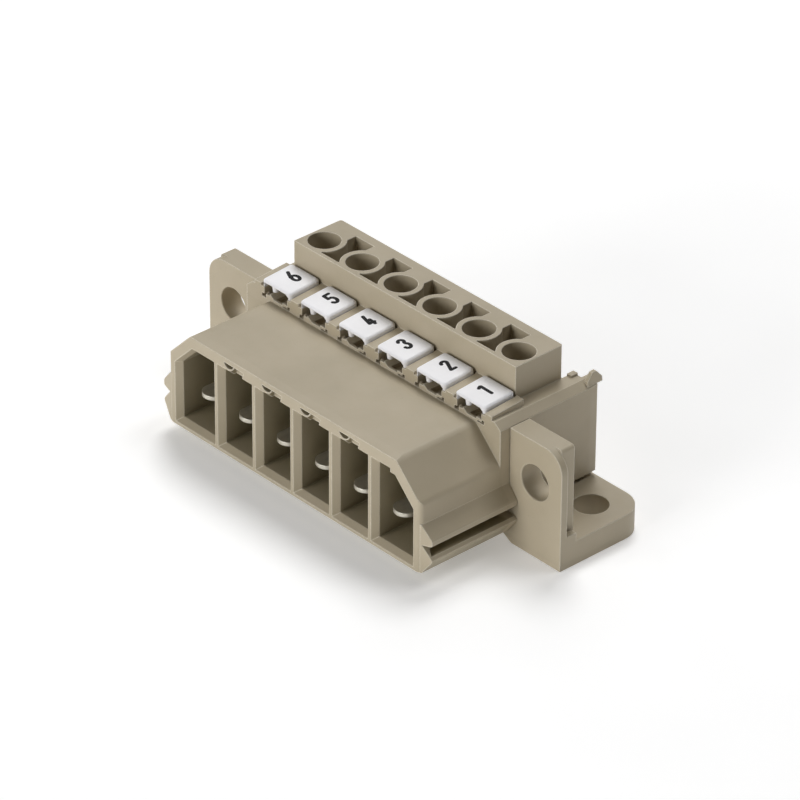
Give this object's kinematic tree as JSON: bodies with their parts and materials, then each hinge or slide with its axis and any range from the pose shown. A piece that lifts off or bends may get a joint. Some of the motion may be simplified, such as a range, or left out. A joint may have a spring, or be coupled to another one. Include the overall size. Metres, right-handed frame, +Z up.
{
  "type": "pluggable terminal block",
  "caption": "Pin-side pluggable terminal block with screw clamps, a shrouded row of flat contacts, numbered marker tags and an angled mounting bracket at each end.",
  "frame": {"origin": "centre of the overall bounding box in X and Y, on the plane of the bracket feet", "axes": "+X along the row of poles from pole 6 to pole 1, -Y out of the shroud where the mating plug comes in, +Y where the wires go in, +Z up out of the screwdriver holes"},
  "size_m": [0.0456, 0.0212, 0.0154],
  "materials": {
    "housing_plastic": "matte",
    "bracket_plastic": "matte",
    "marker_plastic": "satin",
    "blade_metal": "satin",
    "cage_steel": "satin",
    "screw_steel": "satin"
  },
  "bodies": {
    "block": {"housing": "housing_plastic", "mounting_bracket_left": "bracket_plastic", "mounting_bracket_right": "bracket_plastic", "contact_blade_1": "blade_metal", "contact_blade_2": "blade_metal", "contact_blade_3": "blade_metal", "contact_blade_4": "blade_metal", "contact_blade_5": "blade_metal", "contact_blade_6": "blade_metal", "marker_1": "marker_plastic", "marker_2": "marker_plastic", "marker_3": "marker_plastic", "marker_4": "marker_plastic", "marker_5": "marker_plastic", "marker_6": "marker_plastic"},
    "screw_1": {"clamp_screw_1": "screw_steel"},
    "cage_1": {"clamp_cage_1": "cage_steel"},
    "screw_2": {"clamp_screw_2": "screw_steel"},
    "cage_2": {"clamp_cage_2": "cage_steel"},
    "screw_3": {"clamp_screw_3": "screw_steel"},
    "cage_3": {"clamp_cage_3": "cage_steel"},
    "screw_4": {"clamp_screw_4": "screw_steel"},
    "cage_4": {"clamp_cage_4": "cage_steel"},
    "screw_5": {"clamp_screw_5": "screw_steel"},
    "cage_5": {"clamp_cage_5": "cage_steel"},
    "screw_6": {"clamp_screw_6": "screw_steel"},
    "cage_6": {"clamp_cage_6": "cage_steel"}
  },
  "joints": [
    {"name": "screw_1_turn", "type": "hinge", "parent": "block", "child": "screw_1", "pos_m": [0.0125, 0.00422, 0.0089], "axis": [0, 0, 1], "range_deg": [-1521, 0]},
    {"name": "cage_1_lift", "type": "slide", "parent": "block", "child": "cage_1", "axis": [0, 0, 1], "range_m": [0, 0.0019]},
    {"name": "screw_2_turn", "type": "hinge", "parent": "block", "child": "screw_2", "pos_m": [0.0075, 0.00422, 0.0089], "axis": [0, 0, 1], "range_deg": [-1521, 0]},
    {"name": "cage_2_lift", "type": "slide", "parent": "block", "child": "cage_2", "axis": [0, 0, 1], "range_m": [0, 0.0019]},
    {"name": "screw_3_turn", "type": "hinge", "parent": "block", "child": "screw_3", "pos_m": [0.0025, 0.00422, 0.0089], "axis": [0, 0, 1], "range_deg": [-1521, 0]},
    {"name": "cage_3_lift", "type": "slide", "parent": "block", "child": "cage_3", "axis": [0, 0, 1], "range_m": [0, 0.0019]},
    {"name": "screw_4_turn", "type": "hinge", "parent": "block", "child": "screw_4", "pos_m": [-0.0025, 0.00422, 0.0089], "axis": [0, 0, 1], "range_deg": [-1521, 0]},
    {"name": "cage_4_lift", "type": "slide", "parent": "block", "child": "cage_4", "axis": [0, 0, 1], "range_m": [0, 0.0019]},
    {"name": "screw_5_turn", "type": "hinge", "parent": "block", "child": "screw_5", "pos_m": [-0.0075, 0.00422, 0.0089], "axis": [0, 0, 1], "range_deg": [-1521, 0]},
    {"name": "cage_5_lift", "type": "slide", "parent": "block", "child": "cage_5", "axis": [0, 0, 1], "range_m": [0, 0.0019]},
    {"name": "screw_6_turn", "type": "hinge", "parent": "block", "child": "screw_6", "pos_m": [-0.0125, 0.00422, 0.0089], "axis": [0, 0, 1], "range_deg": [-1521, 0]},
    {"name": "cage_6_lift", "type": "slide", "parent": "block", "child": "cage_6", "axis": [0, 0, 1], "range_m": [0, 0.0019]}
  ],
  "couplings": [
    {"joint": "screw_1_turn", "follows": "cage_1_lift", "rad_per_m": -13963},
    {"joint": "screw_2_turn", "follows": "cage_2_lift", "rad_per_m": -13963},
    {"joint": "screw_3_turn", "follows": "cage_3_lift", "rad_per_m": -13963},
    {"joint": "screw_4_turn", "follows": "cage_4_lift", "rad_per_m": -13963},
    {"joint": "screw_5_turn", "follows": "cage_5_lift", "rad_per_m": -13963},
    {"joint": "screw_6_turn", "follows": "cage_6_lift", "rad_per_m": -13963}
  ]
}
